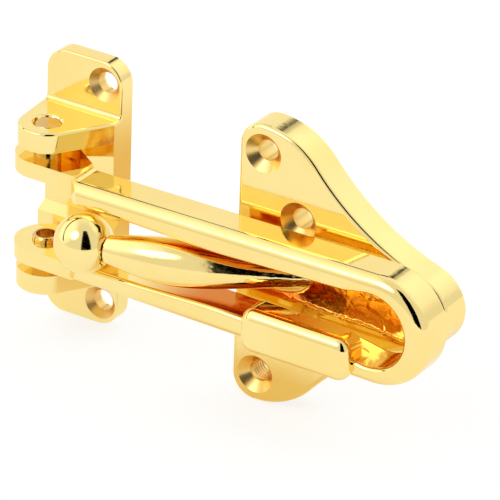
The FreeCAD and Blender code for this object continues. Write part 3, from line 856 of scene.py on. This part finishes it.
@dataclass
class Studio:
    """White light tent: pale floor, glowing walls with dark gaps, and the camera in its slit."""

    azimuth: float = 31.66
    elevation: float = 27.34
    roll: float = 2.1
    distance: float = 1.0
    focal_share: float = 9.31548
    sensor: float = 36.0
    aim_right: float = 0.044015
    aim_up: float = -0.008619
    far_limit: float = 20.0
    floor_half: float = 6.0
    floor_steps: int = 3
    paper: float = 0.3
    paper_glow: float = 0.75
    wall_glow: float = 0.88

    def axes(self) -> tuple[Vector, Vector, Vector]:
        """Give the camera's directions without its roll.

        Returns:
            Its level right, its up and its back.
        """
        turn, lift = math.radians(self.azimuth), math.radians(self.elevation)
        level = math.cos(lift)
        back = Vector((math.sin(turn) * level, -math.cos(turn) * level, math.sin(lift)))
        right = Vector((math.cos(turn), math.sin(turn), 0.0))
        return right, back.cross(right), back

    def place_camera(self, pivot: Vector) -> bpy.types.Object:
        """Set the camera at the viewing angle, rolled a little.

        Args:
            pivot: point on the hinge axis that the aim is measured from.

        Returns:
            The camera.
        """
        right, up, back = self.axes()
        lean = math.radians(self.roll)
        across = right * math.cos(lean) + up * math.sin(lean)
        upward = up * math.cos(lean) - right * math.sin(lean)
        eye = pivot + right * self.aim_right + up * self.aim_up + back * self.distance
        data = bpy.data.cameras.new("camera")
        data.sensor_width = self.sensor
        data.lens = self.sensor * self.focal_share
        data.clip_end = self.far_limit
        camera = bpy.data.objects.new("camera", data)
        turn = Matrix((across, upward, back)).transposed().to_4x4()
        camera.matrix_world = Matrix.Translation(eye) @ turn
        bpy.context.scene.collection.objects.link(camera)
        bpy.context.scene.camera = camera
        return camera

    def lay_floor(self, level: float) -> bpy.types.Object:
        """Lay the pale floor under the object, as a flat square grid.

        Args:
            level: height of the floor.

        Returns:
            The floor.
        """
        reach = np.linspace(-self.floor_half, self.floor_half, self.floor_steps)
        across, along = np.meshgrid(reach, reach, indexing="ij")
        points = np.stack([across, along, np.full_like(across, level)], -1)
        floor = grid_object("floor", points, self.floor_paper(), closed=False)
        floor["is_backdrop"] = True
        return floor

    def floor_paper(self) -> bpy.types.Material:
        """Make the floor's paper: matt, with a glow that makes it white where it is seen or mirrored.

        Returns:
            The new material.
        """
        material, nodes = new_material("floor_paper")
        matt = nodes.add("ShaderNodeBsdfDiffuse")
        matt.inputs["Color"].default_value = (self.paper, self.paper, self.paper, 1.0)
        seen = nodes.rays("Is Camera Ray", "Is Glossy Ray", "Is Transmission Ray")
        glow = nodes.add("ShaderNodeEmission")
        nodes.feed(glow.inputs["Color"], self.paper_tint(nodes))
        nodes.feed(glow.inputs["Strength"], nodes.math("MULTIPLY", seen, self.paper_glow))
        both = nodes.add("ShaderNodeAddShader")
        nodes.feed(both.inputs[0], matt.outputs[0])
        nodes.feed(both.inputs[1], glow.outputs[0])
        nodes.feed(nodes.add("ShaderNodeOutputMaterial").inputs["Surface"], both.outputs[0])
        return material

    def paper_tint(self, nodes: Nodes) -> Socket:
        """Work out the paper's colour as the castings mirror it: white, and warm where shaded.

        Args:
            nodes: the floor's tree.

        Returns:
            The colour, plain white where the paper is seen directly.
        """
        place = nodes.place()
        mirrored = nodes.rays("Is Glossy Ray")
        tint: object = WHITE
        for shade in FLOOR_SHADES:
            share = nodes.math("MULTIPLY", shade.share(nodes, place), mirrored)
            tint = nodes.mix(share, tint, shade.colour)
        return tint

    def light_tent(self) -> None:
        """Paint the tent round the object, plain white where it is seen directly."""
        world = bpy.data.worlds.new("tent")
        bpy.context.scene.world = world
        world.use_nodes = True
        nodes = Nodes(world.node_tree)
        way = nodes.add("ShaderNodeTexCoord").outputs["Generated"]
        glow = self.tent_glow(nodes, way)
        seen = nodes.rays("Is Camera Ray", "Is Transmission Ray")
        paint = nodes.add("ShaderNodeBackground")
        paint.inputs["Color"].default_value = WHITE
        nodes.feed(paint.inputs["Strength"], nodes.ramp(seen, 0.0, 1.0, glow, 1.0))
        nodes.feed(nodes.add("ShaderNodeOutputWorld").inputs["Surface"], paint.outputs[0])

    def tent_glow(self, nodes: Nodes, way: Socket) -> Socket:
        """Work out how bright the tent is: its walls and panels, less its gaps and the camera's slit.

        Args:
            nodes: the world's tree.
            way: direction that is looked in.

        Returns:
            The brightness, where one is white paper.
        """
        glow: object = self.wall_glow
        for panel in TENT_PANELS:
            glow = nodes.math("ADD", glow, panel.light(nodes, way))
        for gap in TENT_GAPS:
            glow = nodes.math("MULTIPLY", glow, gap.light(nodes, way))
        right, _, _ = self.axes()
        return nodes.math("MULTIPLY", glow, CameraSlit().light(nodes, way, right))


def screw_axes(mounts: list[dict]) -> dict[str, ScrewAxes]:
    """List the axis of each screw, as its place sideways and its height.

    Args:
        mounts: the record's mounts.

    Returns:
        The axes under the name of each screw mount.
    """
    axes = {}
    for mount in mounts:
        spacing = mount["dims"].get("spacing_y_mm")
        if spacing:
            half = spacing * MILLIMETRE / 2
            axes[mount["name"]] = ((mount["pos_m"][0], half), (mount["pos_m"][0], -half))
    return axes


def main() -> None:
    """Dress the sub-assemblies in order, and set the studio."""
    logging.basicConfig(level=logging.INFO)
    cad_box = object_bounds()
    scene = bpy.context.scene
    scene.view_settings.view_transform = "Standard"
    scene.cycles.max_bounces = ALL_BOUNCES
    scene.cycles.glossy_bounces = MIRROR_BOUNCES
    pivot = Vector(frame["joints"][0]["pos_m"])
    screws = screw_axes(frame["record"]["mounts"])
    door_screws = screws["door_outer_screws"] + screws["door_inner_screws"]
    for group in (JambBracket(pivot, screws["jamb_screws"]), SwingBar(pivot),
                  DoorPlate(pivot, door_screws), HingePins(pivot)):
        for piece in group.dress():
            LOG.info("dressed %s", piece.name)
    studio = Studio()
    studio.place_camera(pivot)
    studio.lay_floor(cad_box[0].z)
    studio.light_tent()


if __name__ == "__main__":
    main()
